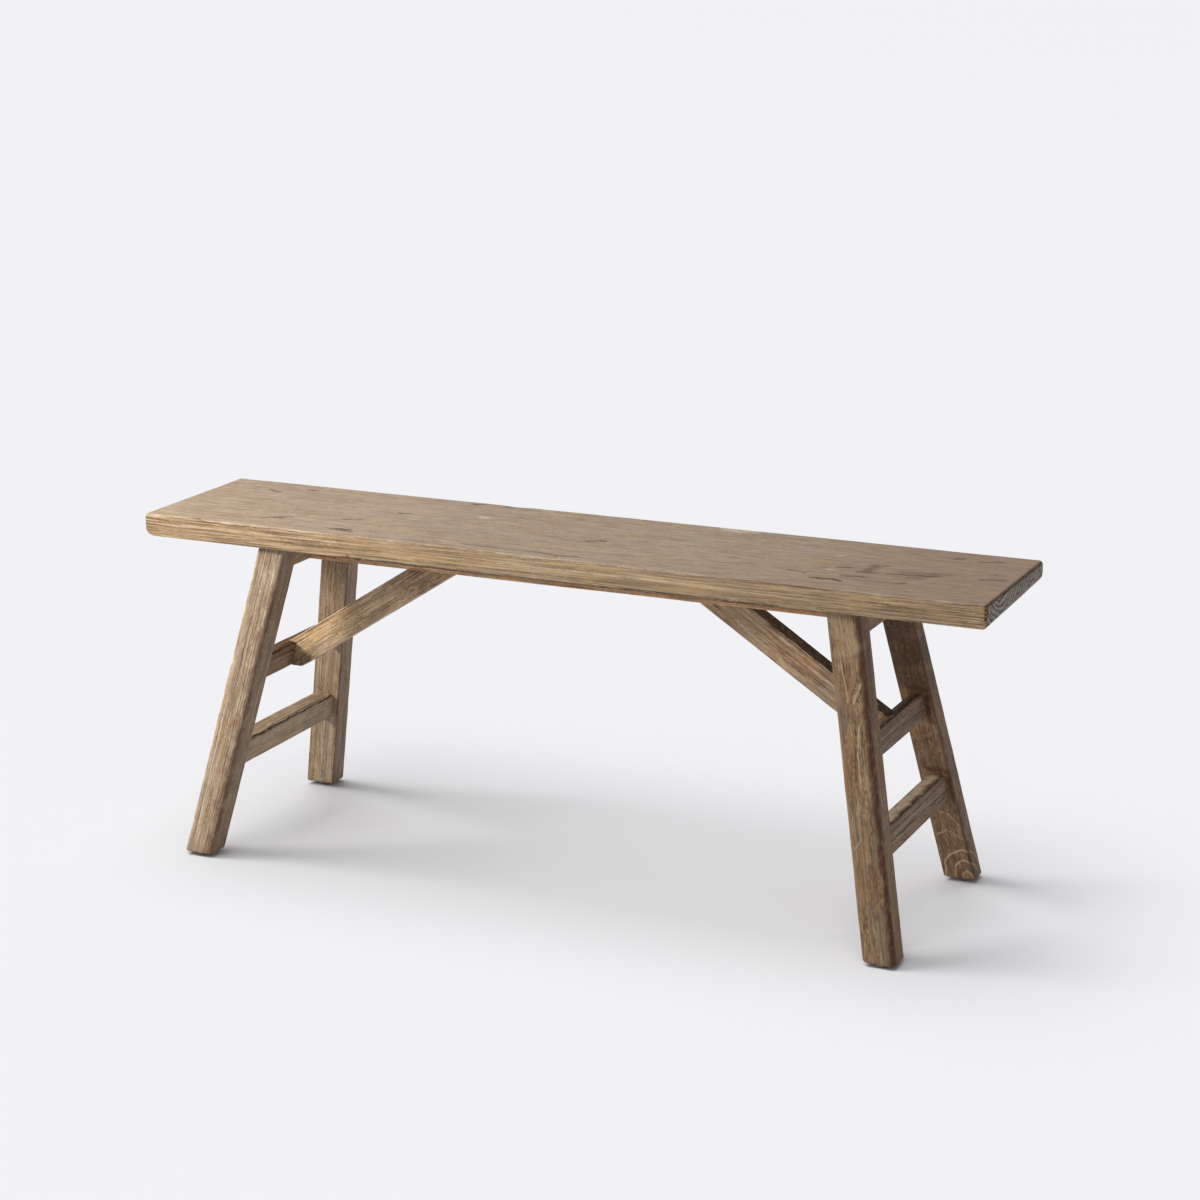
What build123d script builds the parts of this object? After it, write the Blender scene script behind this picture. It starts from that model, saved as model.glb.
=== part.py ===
"""Bed-end bench: a thick plank on two splayed end frames, with a centre rail and two braces.

Millimetres, +Z up, +X along the seat to the right, +Y to the back. The origin lies on the
floor, below the middle of the seat.
"""

import os
from math import atan, cos, radians, sin, tan

from build123d import *

# Seat plank
seat_length = 1200
seat_depth = 250
seat_thickness = 32
seat_height = 464
seat_end_round = 14
seat_end_arris = 5
seat_long_arris = 4
seat_corner_arris = 3

# Legs: sections are measured level, heads from the seat's edges to the leg's centre
leg_width = 44
leg_depth = 36
leg_outer_arris = 7
leg_inner_arris = 2
leg_overhang_x = 192
leg_overhang_y = 36
leg_splay_x = 87
leg_splay_y = 80
leg_tenon_width = 26
leg_tenon_depth = 18
leg_tenon_height = 20

# Rails under the seat
rail_height = 33
rail_arris = 2
cross_rail_width = 40
cross_rail_tenon_width = 28
cross_rail_tenon_height = 20
centre_rail_width = 60
centre_rail_tenon_width = 44
centre_rail_tenon_height = 17

# Stretchers of the end frames: drops are measured between centres or from the rails down
stretcher_arris = 2
upper_stretcher_drop = 144
lower_stretcher_drop = 117
upper_stretcher_thickness = 18
upper_stretcher_height = 34
upper_tenon_thickness = 9
upper_tenon_height = 24
lower_stretcher_thickness = 26
lower_stretcher_height = 36
lower_tenon_thickness = 14
lower_tenon_height = 26

# Braces
brace_angle = 33
brace_depth = 40
brace_width = 26
brace_lap = 10
brace_arris = 1.5
brace_tenon_length = 40
brace_tenon_width = 14
brace_tenon_height = 14

# Joints
tenon_reach = 14
joint_gap = 0.15
mortise_spare = 1

# Countersunk wood screws
screw_radius = 2
screw_head_radius = 4
screw_head_height = 2.4
screw_socket_radius = 1.6
screw_socket_depth = 1.4
screw_gap = 0.1
screw_pilot_spare = 1
long_screw_length = 45
short_screw_length = 35
head_screw_recess = 0.5
foot_screw_bite = 12
cross_rail_screw_inset = 26
centre_rail_screw_share = 0.5

# Nail-on glides
glide_radius = 13
glide_height = 4
glide_stem_radius = 1.5
glide_stem_length = 16

cut_overrun = 5

# Worked out from the sizes above
seat_underside = seat_height - seat_thickness
rail_underside = seat_underside - rail_height
foot_level = glide_height
leg_rise = seat_underside - foot_level
leg_head_x = seat_length / 2 - leg_overhang_x
leg_head_y = seat_depth / 2 - leg_overhang_y
leg_foot_x = leg_head_x + leg_splay_x
leg_foot_y = leg_head_y + leg_splay_y
lean_x = leg_splay_x / leg_rise
lean_y = leg_splay_y / leg_rise
upper_stretcher_level = rail_underside - upper_stretcher_drop
lower_stretcher_level = upper_stretcher_level - lower_stretcher_drop
lean = atan(lean_x)
brace_slope = radians(brace_angle)

ENDS = {"left": -1, "right": 1}
SIDES = {"front": -1, "back": 1}


def leg_x(level):
    """Distance of the leg centres from the middle of the bench at a height."""
    return leg_foot_x - lean_x * (level - foot_level)


def leg_direction(end, side):
    return Vector(-end * lean_x, -side * lean_y, 1)


def leg_inner_face(side, reach):
    """Plane of the legs' faces that look at each other, moved into the leg by a reach."""
    centre_y = side * (leg_head_y - leg_depth / 2)
    face = Plane(origin=(0, centre_y, seat_underside), x_dir=(1, 0, 0), z_dir=(0, side, lean_y))
    return face.offset(reach)


def cross_rail_inner_face(end, reach):
    """Plane of a cross rail's face towards the middle, moved into the rail by a reach."""
    face_x = end * (leg_head_x - cross_rail_width / 2)
    face = Plane(origin=(face_x, 0, seat_underside), x_dir=(0, 1, 0), z_dir=(end, 0, lean_x))
    return face.offset(reach)


def stretcher_plane(end, level):
    """Section plane of a stretcher, square to Y and leaning with the end frame."""
    return Plane(
        origin=(end * leg_x(level), 0, level),
        x_dir=(cos(lean), 0, end * sin(lean)),
        z_dir=(0, -1, 0),
    )


def bar_between_legs(section, reach):
    """Section run along Y and cut off at the legs' inner faces, or a reach inside the legs."""
    with BuildPart() as bar:
        extrude(section, amount=leg_foot_y, both=True)
        for side in SIDES.values():
            split(bisect_by=leg_inner_face(side, reach), keep=Keep.BOTTOM)
    return bar.part


def bar_between_cross_rails(section, reach):
    """Section run along X and cut off at the cross rails, or a reach inside them."""
    with BuildPart() as bar:
        extrude(section, amount=leg_head_x, both=True)
        for end in ENDS.values():
            split(bisect_by=cross_rail_inner_face(end, reach), keep=Keep.BOTTOM)
    return bar.part


# Sections


def stretcher_section(end, level, thickness, height, arris=0):
    with BuildSketch(stretcher_plane(end, level)) as section:
        Rectangle(thickness, height)
        if arris:
            fillet(section.vertices(), arris)
    return section.sketch


def cross_rail_section(end, width, bottom, top, arris=0):
    """Section of a cross rail, level above and below and leaning with the legs at its sides."""
    with BuildSketch(Plane.XZ) as section:
        with BuildLine():
            Polyline(
                (end * leg_x(bottom) - width / 2, bottom),
                (end * leg_x(bottom) + width / 2, bottom),
                (end * leg_x(top) + width / 2, top),
                (end * leg_x(top) - width / 2, top),
                close=True,
            )
        make_face()
        if arris:
            fillet(section.vertices().group_by(Axis.Y)[0], arris)
    return section.sketch


def centre_rail_section(width, height, arris=0):
    with BuildSketch(Plane.YZ) as section:
        with Locations((0, seat_underside - rail_height / 2)):
            Rectangle(width, height)
        if arris:
            fillet(section.vertices().group_by(Axis.Y)[0], arris)
    return section.sketch


# Tenons, each drawn once: the mortise is the same form, wider by the joint's gap


def stretcher_tenon(end, level, thickness, height, gap=0):
    section = stretcher_section(end, level, thickness + 2 * gap, height + 2 * gap)
    return bar_between_legs(section, tenon_reach + (mortise_spare if gap else 0))


def upper_tenon(end, gap=0):
    level = upper_stretcher_level
    return stretcher_tenon(end, level, upper_tenon_thickness, upper_tenon_height, gap)


def lower_tenon(end, gap=0):
    level = lower_stretcher_level
    return stretcher_tenon(end, level, lower_tenon_thickness, lower_tenon_height, gap)


def cross_rail_tenon(end, gap=0):
    middle = seat_underside - rail_height / 2
    half_height = cross_rail_tenon_height / 2 + gap
    width = cross_rail_tenon_width + 2 * gap
    section = cross_rail_section(end, width, middle - half_height, middle + half_height)
    return bar_between_legs(section, tenon_reach + (mortise_spare if gap else 0))


def centre_rail_tenon(gap=0):
    width = centre_rail_tenon_width + 2 * gap
    section = centre_rail_section(width, centre_rail_tenon_height + 2 * gap)
    return bar_between_cross_rails(section, tenon_reach + (mortise_spare if gap else 0))


def leg_tenon(end, side, gap=0):
    """Tenon on a leg's head, slanted like the leg and cut off level."""
    height = leg_tenon_height + (mortise_spare if gap else 0)
    direction = leg_direction(end, side)
    with BuildPart() as tenon:
        with BuildSketch(Plane((end * leg_head_x, side * leg_head_y, seat_underside))):
            Rectangle(leg_tenon_width + 2 * gap, leg_tenon_depth + 2 * gap)
        extrude(amount=height * direction.length, dir=direction)
    return tenon.part


# Brace outline: the foot is notched over the upper stretcher, the head is cut level


def stretcher_corner(end, across, up):
    """Corner of the upper stretcher's section, with across 1 at the outer side and up 1 on top."""
    half = upper_stretcher_thickness / 2
    plane = stretcher_plane(end, upper_stretcher_level)
    return plane.from_local_coords((end * across * half, up * upper_stretcher_height / 2, 0))


def brace_points(end):
    """Corners of the brace's side face, from its toe over the notch and round by the head."""
    top_arris = stretcher_corner(end, -1, 1)
    heel = stretcher_corner(end, -1, -1)
    lap = stretcher_plane(end, upper_stretcher_level).x_dir * end * brace_lap
    toe = top_arris + lap
    run_up = (rail_underside - toe.Z) / tan(brace_slope)
    head_outer = Vector(toe.X - end * run_up, 0, rail_underside)
    head_inner = head_outer - Vector(end * brace_depth / sin(brace_slope), 0, 0)
    run_down = (rail_underside - heel.Z) / tan(brace_slope)
    heel_inner = Vector(head_inner.X + end * run_down, 0, heel.Z)
    return [toe, top_arris, heel, heel_inner, head_inner, head_outer]


def brace_head_x(end):
    points = brace_points(end)
    return (points[-1].X + points[-2].X) / 2


def brace_tenon(end, gap=0):
    """Stub tenon that stands on the brace's head, in the centre rail."""
    height = brace_tenon_height + (mortise_spare if gap else 0)
    with BuildPart() as tenon:
        with BuildSketch(Plane((brace_head_x(end), 0, rail_underside))):
            Rectangle(brace_tenon_length + 2 * gap, brace_tenon_width + 2 * gap)
        extrude(amount=height)
    return tenon.part


# Screws and the spaces that they are driven into


def screw_plane(head, outward):
    """Plane in which a screw's half profile is drawn, its Y axis pointing out of the head."""
    outward = Vector(*outward)
    return Plane(origin=head, x_dir=outward.cross(Vector(0, 1, 0)), z_dir=(0, 1, 0))


def screw(plane, length):
    with BuildPart() as body:
        with BuildSketch(plane):
            with BuildLine():
                Polyline(
                    (0, 0),
                    (screw_head_radius, 0),
                    (screw_radius, -screw_head_height),
                    (screw_radius, -length),
                    (0, -length),
                    close=True,
                )
            make_face()
        revolve(axis=Axis(plane.origin, plane.y_dir))
        with BuildSketch(Plane(plane.origin, x_dir=plane.x_dir, z_dir=plane.y_dir)):
            RegularPolygon(screw_socket_radius, 6)
        extrude(amount=-screw_socket_depth, mode=Mode.SUBTRACT)
    return body.part


def screw_space(plane, length, recess=0):
    """Pilot hole and countersink of a screw, and a bore above its head when that is sunk."""
    hole_radius = screw_radius + screw_gap
    head_radius = screw_head_radius + screw_gap
    with BuildPart() as space:
        with BuildSketch(plane):
            with BuildLine():
                Polyline(
                    (0, recess + cut_overrun),
                    (head_radius, recess + cut_overrun),
                    (head_radius, 0),
                    (hole_radius, -screw_head_height),
                    (hole_radius, -length - screw_pilot_spare),
                    (0, -length - screw_pilot_spare),
                    close=True,
                )
            make_face()
        revolve(axis=Axis(plane.origin, plane.y_dir))
    return space.part


def seat_screw_planes():
    """Heads of the screws that are driven up through the rails into the seat."""
    cross_x = leg_x(seat_underside - rail_height / 2)
    cross_y = leg_head_y - leg_depth / 2 - cross_rail_screw_inset
    centre_x = brace_head_x(1) * centre_rail_screw_share
    places = [(end * cross_x, row * cross_y) for end in (-1, 1) for row in (-1, 1)]
    places += [(end * centre_x, 0) for end in (-1, 1)]
    return [screw_plane((x, y, rail_underside), (0, 0, -1)) for x, y in places]


def head_screw_plane(end):
    head = (brace_head_x(end), 0, seat_underside - head_screw_recess)
    return screw_plane(head, (0, 0, 1))


def foot_screw_plane(end):
    """Head of the screw that runs square through the brace's foot into the stretcher."""
    frame_out = stretcher_plane(end, upper_stretcher_level).x_dir * end
    middle = stretcher_corner(end, -1, 0)
    head = middle - frame_out * (short_screw_length - foot_screw_bite)
    return screw_plane(head, -frame_out)


# Seat


def make_seat():
    """Plank with the outlines of its front, its end and its top, each rounded at the corners."""
    middle = seat_height - seat_thickness / 2
    with BuildPart() as seat:
        with BuildSketch(Plane.XZ) as front:
            with Locations((0, middle)):
                Rectangle(seat_length, seat_thickness)
            fillet(front.vertices().group_by(Axis.Y)[0], seat_end_round)
            fillet(front.vertices().group_by(Axis.Y)[-1], seat_end_arris)
        extrude(amount=seat_depth / 2, both=True)
        with BuildSketch(Plane.YZ) as end_face:
            with Locations((0, middle)):
                Rectangle(seat_depth, seat_thickness)
            fillet(end_face.vertices(), seat_long_arris)
        extrude(amount=seat_length / 2, both=True, mode=Mode.INTERSECT)
        with BuildSketch(Plane.XY.offset(seat_underside)) as top:
            Rectangle(seat_length, seat_depth)
            fillet(top.vertices(), seat_corner_arris)
        extrude(amount=seat_thickness, mode=Mode.INTERSECT)
        for end in ENDS.values():
            for side in SIDES.values():
                add(leg_tenon(end, side, joint_gap), mode=Mode.SUBTRACT)
        for plane in seat_screw_planes():
            add(screw_space(plane, long_screw_length), mode=Mode.SUBTRACT)
    return seat.part


# Legs


def make_leg(end, side):
    direction = leg_direction(end, side)
    with BuildPart() as leg:
        with BuildSketch(Plane((end * leg_foot_x, side * leg_foot_y, foot_level))) as section:
            Rectangle(leg_width, leg_depth)
            rows = section.vertices().group_by(Axis.Y)
            inner, outer = (rows[0], rows[-1]) if side > 0 else (rows[-1], rows[0])
            fillet(outer, leg_outer_arris)
            fillet(inner, leg_inner_arris)
        extrude(amount=leg_rise * direction.length, dir=direction)
        add(leg_tenon(end, side))
        for mortise in (cross_rail_tenon, upper_tenon, lower_tenon):
            add(mortise(end, joint_gap), mode=Mode.SUBTRACT)
        add(glide_stem(end, side, joint_gap), mode=Mode.SUBTRACT)
    return leg.part


# Rails under the seat


def make_cross_rail(end):
    section = cross_rail_section(end, cross_rail_width, rail_underside, seat_underside, rail_arris)
    with BuildPart() as rail:
        add(bar_between_legs(section, 0))
        add(cross_rail_tenon(end))
        add(centre_rail_tenon(joint_gap), mode=Mode.SUBTRACT)
        for plane in seat_screw_planes():
            add(screw_space(plane, long_screw_length), mode=Mode.SUBTRACT)
    return rail.part


def make_centre_rail():
    section = centre_rail_section(centre_rail_width, rail_height, rail_arris)
    with BuildPart() as rail:
        add(bar_between_cross_rails(section, 0))
        add(centre_rail_tenon())
        for end in ENDS.values():
            add(brace_tenon(end, joint_gap), mode=Mode.SUBTRACT)
            space = screw_space(head_screw_plane(end), long_screw_length, head_screw_recess)
            add(space, mode=Mode.SUBTRACT)
        for plane in seat_screw_planes():
            add(screw_space(plane, long_screw_length), mode=Mode.SUBTRACT)
    return rail.part


# Stretchers


def make_upper_stretcher(end):
    section = stretcher_section(
        end,
        upper_stretcher_level,
        upper_stretcher_thickness,
        upper_stretcher_height,
        stretcher_arris,
    )
    with BuildPart() as stretcher:
        add(bar_between_legs(section, 0))
        add(upper_tenon(end))
        add(screw_space(foot_screw_plane(end), short_screw_length), mode=Mode.SUBTRACT)
    return stretcher.part


def make_lower_stretcher(end):
    section = stretcher_section(
        end,
        lower_stretcher_level,
        lower_stretcher_thickness,
        lower_stretcher_height,
        stretcher_arris,
    )
    with BuildPart() as stretcher:
        add(bar_between_legs(section, 0))
        add(lower_tenon(end))
    return stretcher.part


# Braces


def make_brace(end):
    points = brace_points(end)
    along = Axis(points[0], points[-1] - points[0])
    with BuildPart() as brace:
        with BuildSketch(Plane.XZ):
            with BuildLine():
                Polyline(*[(point.X, point.Z) for point in points], close=True)
            make_face()
        extrude(amount=brace_width / 2, both=True)
        fillet(brace.edges().filter_by(along), brace_arris)
        add(brace_tenon(end))
        head_space = screw_space(head_screw_plane(end), long_screw_length, head_screw_recess)
        foot_space = screw_space(foot_screw_plane(end), short_screw_length, brace_depth)
        add(head_space, mode=Mode.SUBTRACT)
        add(foot_space, mode=Mode.SUBTRACT)
    return brace.part


# Glides


def glide_stem(end, side, gap=0):
    length = glide_stem_length + (mortise_spare if gap else 0)
    with BuildPart() as stem:
        with BuildSketch(Plane((end * leg_foot_x, side * leg_foot_y, foot_level))):
            Circle(glide_stem_radius + gap)
        extrude(amount=length)
    return stem.part


def make_glide(end, side):
    with BuildPart() as glide:
        with BuildSketch(Plane((end * leg_foot_x, side * leg_foot_y, foot_level))):
            Circle(glide_radius)
        extrude(amount=-glide_height)
        add(glide_stem(end, side))
    return glide.part


# All pieces under their names


def all_pieces():
    pieces = {"seat_plank": make_seat(), "centre_rail": make_centre_rail()}
    for end_name, end in ENDS.items():
        pieces[f"{end_name}_cross_rail"] = make_cross_rail(end)
        pieces[f"{end_name}_upper_stretcher"] = make_upper_stretcher(end)
        pieces[f"{end_name}_lower_stretcher"] = make_lower_stretcher(end)
        pieces[f"{end_name}_brace"] = make_brace(end)
        for side_name, side in SIDES.items():
            pieces[f"{side_name}_{end_name}_leg"] = make_leg(end, side)
            pieces[f"{side_name}_{end_name}_glide"] = make_glide(end, side)
    screws = [screw(plane, long_screw_length) for plane in seat_screw_planes()]
    pieces["seat_screws"] = Part(children=screws)
    screws = [screw(head_screw_plane(end), long_screw_length) for end in ENDS.values()]
    pieces["brace_head_screws"] = Part(children=screws)
    screws = [screw(foot_screw_plane(end), short_screw_length) for end in ENDS.values()]
    pieces["brace_foot_screws"] = Part(children=screws)
    return pieces


os.makedirs("parts", exist_ok=True)
for piece_name, piece in all_pieces().items():
    piece.label = piece_name
    export_step(piece, f"parts/{piece_name}.step")
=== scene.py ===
"""Looks of the bed-end bench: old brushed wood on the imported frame, in metres."""

import math
from collections import namedtuple

import bpy
import numpy
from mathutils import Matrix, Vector, noise


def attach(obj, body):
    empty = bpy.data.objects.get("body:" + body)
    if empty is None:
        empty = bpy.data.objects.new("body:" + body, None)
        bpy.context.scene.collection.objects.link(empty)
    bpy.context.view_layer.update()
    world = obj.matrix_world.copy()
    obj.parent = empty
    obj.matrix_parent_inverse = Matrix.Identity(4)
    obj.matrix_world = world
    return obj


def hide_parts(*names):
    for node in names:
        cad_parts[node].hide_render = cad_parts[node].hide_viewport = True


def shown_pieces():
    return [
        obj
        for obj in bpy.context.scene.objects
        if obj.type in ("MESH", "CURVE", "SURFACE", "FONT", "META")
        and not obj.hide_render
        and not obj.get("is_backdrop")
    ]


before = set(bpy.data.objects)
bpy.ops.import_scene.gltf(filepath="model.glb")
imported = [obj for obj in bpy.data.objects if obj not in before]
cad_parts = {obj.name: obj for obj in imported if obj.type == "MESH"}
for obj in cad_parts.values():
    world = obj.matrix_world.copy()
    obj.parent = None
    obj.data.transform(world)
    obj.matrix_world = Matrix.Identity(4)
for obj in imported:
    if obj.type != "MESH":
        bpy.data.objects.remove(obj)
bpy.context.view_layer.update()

MM = 0.001

# Sizes of the bench, as in the CAD model
SEAT_LENGTH, SEAT_DEPTH, SEAT_THICKNESS, SEAT_TOP = 1200 * MM, 250 * MM, 32 * MM, 464 * MM
RAIL_HEIGHT, CROSS_RAIL_WIDTH, CENTRE_RAIL_WIDTH = 33 * MM, 40 * MM, 60 * MM
LEG_WIDTH, LEG_DEPTH, FOOT_LEVEL = 44 * MM, 36 * MM, 4 * MM
HEAD_X, HEAD_Y, FOOT_X, FOOT_Y = 408 * MM, 89 * MM, 495 * MM, 169 * MM
UPPER_LEVEL, UPPER_THICKNESS, UPPER_HEIGHT = 255 * MM, 18 * MM, 34 * MM
LOWER_LEVEL, LOWER_THICKNESS, LOWER_HEIGHT = 138 * MM, 26 * MM, 36 * MM
BRACE_SLOPE, BRACE_DEPTH, BRACE_WIDTH, BRACE_LAP = math.radians(33), 40 * MM, 26 * MM, 10 * MM
GLIDE_RADIUS, GLIDE_STEM_RADIUS, GLIDE_STEM_LENGTH = 13 * MM, 1.5 * MM, 14 * MM
SCREW_RADIUS, SCREW_HEAD_RADIUS, SCREW_HEAD_HEIGHT = 2 * MM, 4 * MM, 2.4 * MM
SOCKET_RADIUS, SOCKET_DEPTH = 1.6 * MM, 1.4 * MM
LONG_SCREW, SHORT_SCREW, FOOT_SCREW_BITE = 45 * MM, 35 * MM, 12 * MM
BRACE_HEAD_X, CROSS_SCREW_INSET = 209 * MM, 26 * MM
SEAT_UNDERSIDE = SEAT_TOP - SEAT_THICKNESS
RAIL_UNDERSIDE = SEAT_UNDERSIDE - RAIL_HEIGHT
LEAN_X = (FOOT_X - HEAD_X) / (SEAT_UNDERSIDE - FOOT_LEVEL)
LEAN_Y = (FOOT_Y - HEAD_Y) / (SEAT_UNDERSIDE - FOOT_LEVEL)
LEAN = math.atan(LEAN_X)
# Ends of the stretchers and rails run this far into what they meet, past its uneven face
SEATING = 0.6 * MM

ENDS, SIDES = {"left": -1, "right": 1}, {"front": -1, "back": 1}
CORNERS = [(f"{side}_{end}", ENDS[end], SIDES[side]) for side in SIDES for end in ENDS]


def srgb(r, g, b):
    """A colour given as 0 to 255 per channel, as the linear RGBA that shaders take."""
    shares = (r / 255, g / 255, b / 255)
    return (*[c / 12.92 if c <= 0.04045 else ((c + 0.055) / 1.055) ** 2.4 for c in shares], 1)


# Meshes: every wooden piece is a ring of section points carried along the grain

Section = namedtuple("Section", "p q np nq edge")
# A line or patch painted on a piece: its two ends and its half width in mm, how strong it is, and its ink
Mark = namedtuple("Mark", "start end width strength ink", defaults=(1.0, "dark"))
INKS = ("dark", "pale", "red")

# How far the wear of an arris reaches from it, and its least rounding
WORN_REACH, LEAST_RADIUS = 1.2 * MM, 0.6 * MM
# How far old boards swell and ripple, and the seat, which stays inside its plank's size
SWELL, RIPPLE, SEAT_SWELL, SEAT_INSET = 0.35 * MM, 0.12 * MM, 0.4 * MM, 0.5 * MM
# How far a piece runs true into its joint, and how far a dent is worked out, in half lengths
TRUE_END, DENT_REACH = 4 * MM, 2.5
# How far a mark sways, as a share of its half width, and over which lengths in mm
SWAY, LONG_SWAY, SHORT_SWAY = 0.4, 9.1, 3.7
# Rings of points over a rounded end, and rows over a cap, as shares of its height from the top
END_STEPS = 9
CAP_SHARES = (0.05, 0.12, 0.22, 0.36, 0.5, 0.64, 0.78, 0.88, 0.95)
# From these angles on, in degrees, an arris is sharp
WOOD_SHARP, TURNED_SHARP = 40, 35


def half_ring(width, height, near, far, counts):
    """Points over one half of a rounded rectangle, from its +p side over the +q side to its -p side."""
    sides, top, arc = counts
    half, rise = width / 2, height / 2
    points = []

    def flank(radius, sign):
        for i in range(sides)[::sign]:
            q = (rise - radius) * (i + 0.5) / (sides + 0.5)
            points.append(Section(sign * half, q, sign, 0, math.exp((q + radius - rise) / WORN_REACH)))

    def corner(radius, sign, first, last):
        for i in range(arc):
            angle = first + (last - first) * i / (arc - 1)
            c, s = math.cos(angle), math.sin(angle)
            p, q = sign * (half - radius) + radius * c, rise - radius + radius * s
            points.append(Section(p, q, c, s, math.sqrt(abs(math.sin(2 * angle)))))

    flank(near, 1)
    corner(near, 1, 0, math.pi / 2)
    span = width - near - far
    for i in range(1, top):
        p = half - near - span * i / top
        close = min(p + half - far, half - near - p)
        points.append(Section(p, rise, 0, 1, math.exp(-close / WORN_REACH)))
    corner(far, -1, math.pi / 2, math.pi)
    flank(far, -1)
    return points


def ring(width, height, radii, counts):
    """A whole section. Its radii belong to the corners +p+q, -p+q, -p-q and +p-q."""
    over = half_ring(width, height, radii[0], radii[1], counts)
    under = half_ring(width, height, radii[3], radii[2], counts)
    return over + [Section(s.p, -s.q, s.np, -s.nq, s.edge) for s in reversed(under)]


def stations(length, step, ends):
    """Distances along a piece, closer together over the rounding at its ends."""
    turns = [1 - math.cos(math.pi / 2 * i / END_STEPS) for i in range(END_STEPS)]
    first = [ends[0] * t for t in turns] if ends[0] else []
    last = [length - ends[1] * t for t in reversed(turns)] if ends[1] else []
    inner = length - sum(ends)
    count = max(2, round(inner / step))
    return first + [ends[0] + inner * i / count for i in range(count + 1)] + last


def fall(distance, radius):
    """How far a rounded end draws in, at a distance from the end."""
    short = radius - max(distance, 0)
    return radius - math.sqrt(radius * radius - short * short) if short > 0 else 0


def drawn(value, half, draw):
    """A section coordinate where the whole side is drawn in."""
    return value * (half - draw) / half


def wander(seed, x, y=0.0, z=0.0):
    """Smooth noise between about -1 and 1."""
    return noise.noise(Vector((x + 31.7 * seed, y + 17.3 * seed, z)))


def dented(spots, u, p, q):
    """How deep dents and chips are at one place of a piece. Each has its middle, its half sizes along the
    grain and across it, and its depth, in mm."""
    total = 0
    for middle_u, middle_p, middle_q, long, wide, depth in spots:
        along = (u / MM - middle_u) / long
        if abs(along) < DENT_REACH:
            across = math.hypot(p / MM - middle_p, q / MM - middle_q) / wide
            total += depth * MM * math.exp(-along * along - across * across)
    return total


def painted(places, marks):
    """Strength of each ink at each place, from the marks of a piece."""
    places = numpy.array(places) / MM
    sway = numpy.sin(places[:, 0] / LONG_SWAY) + 0.6 * numpy.sin(places[:, 0] / SHORT_SWAY + 1)
    inks = numpy.zeros((len(places), len(INKS)))
    for mark in (Mark(*row) for row in marks):
        start, way = numpy.array(mark.start, float), numpy.subtract(mark.end, mark.start).astype(float)
        share = numpy.clip((places - start) @ way / max(1e-6, way @ way), 0, 1)
        off = places - start - share[:, None] * way
        off[:, 1] += SWAY * mark.width * sway
        away = numpy.linalg.norm(off, axis=1) / mark.width
        column = INKS.index(mark.ink)
        inks[:, column] = numpy.maximum(inks[:, column], mark.strength * numpy.exp(-(away**3)))
    return inks


def between(a, b, count):
    """Faces between two closed rings of points, given by the numbers of their first points."""
    return [(a + k, a + (k + 1) % count, b + (k + 1) % count, b + k) for k in range(count)]


def placed(name, verts, faces, sharp):
    """A smooth mesh object with its arrises sharp."""
    mesh = bpy.data.meshes.new(name)
    mesh.from_pydata([tuple(v) for v in verts], [], faces)
    mesh.validate()
    for polygon in mesh.polygons:
        polygon.use_smooth = True
    mesh.set_sharp_from_angle(angle=math.radians(sharp))
    piece = bpy.data.objects.new(name, mesh)
    bpy.context.collection.objects.link(piece)
    return piece


def build(name, rings, grain, marks):
    """Mesh object through rings of world points, with grain places, edge weights and marks as attributes."""
    count = len(rings[0])
    verts = [v for points in rings for v, _ in points]
    edges = [e for points in rings for _, e in points]
    places = [tuple(place) for row in grain for place in row]
    faces = []
    for i in range(len(rings) - 1):
        faces += between(i * count, (i + 1) * count, count)
    for start in (0, (len(rings) - 1) * count):
        columns = [(start + k, start + count - 1 - k) for k in range(count // 2)]
        rows = [[top for top, _ in columns]]
        for share in CAP_SHARES:
            rows.append(list(range(len(verts), len(verts) + len(columns))))
            for top, bottom in columns:
                height = (verts[top] - verts[bottom]).length
                verts.append(verts[top].lerp(verts[bottom], share))
                places.append(tuple(Vector(places[top]).lerp(Vector(places[bottom]), share)))
                edges.append(math.exp(-min(share, 1 - share) * height / WORN_REACH))
        rows.append([bottom for _, bottom in columns])
        for upper, lower in zip(rows, rows[1:]):
            for k in range(len(columns) - 1):
                quad = (upper[k], upper[k + 1], lower[k + 1], lower[k])
                faces.append(quad if start else quad[::-1])
    piece = placed(name, verts, faces, WOOD_SHARP)
    data = (
        ("grain", "FLOAT_VECTOR", "vector", numpy.ravel(places)),
        ("edge", "FLOAT", "value", edges),
        ("marks", "FLOAT_VECTOR", "vector", painted(places, marks).ravel()),
    )
    for attribute, kind, field, values in data:
        piece.data.attributes.new(attribute, kind, "POINT").data.foreach_set(field, values)
    return piece


# A squared piece: the radii of its arrises, the distance and number of its points, the rounding of its ends
Stick = namedtuple(
    "Stick",
    "width height radii step counts rounding dents marks",
    defaults=(2.5 * MM, (12, 20, 6), (0, 0), (), ()),
)
# How much the roundness of its arrises varies, as a share
WEAR = 0.3


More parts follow.
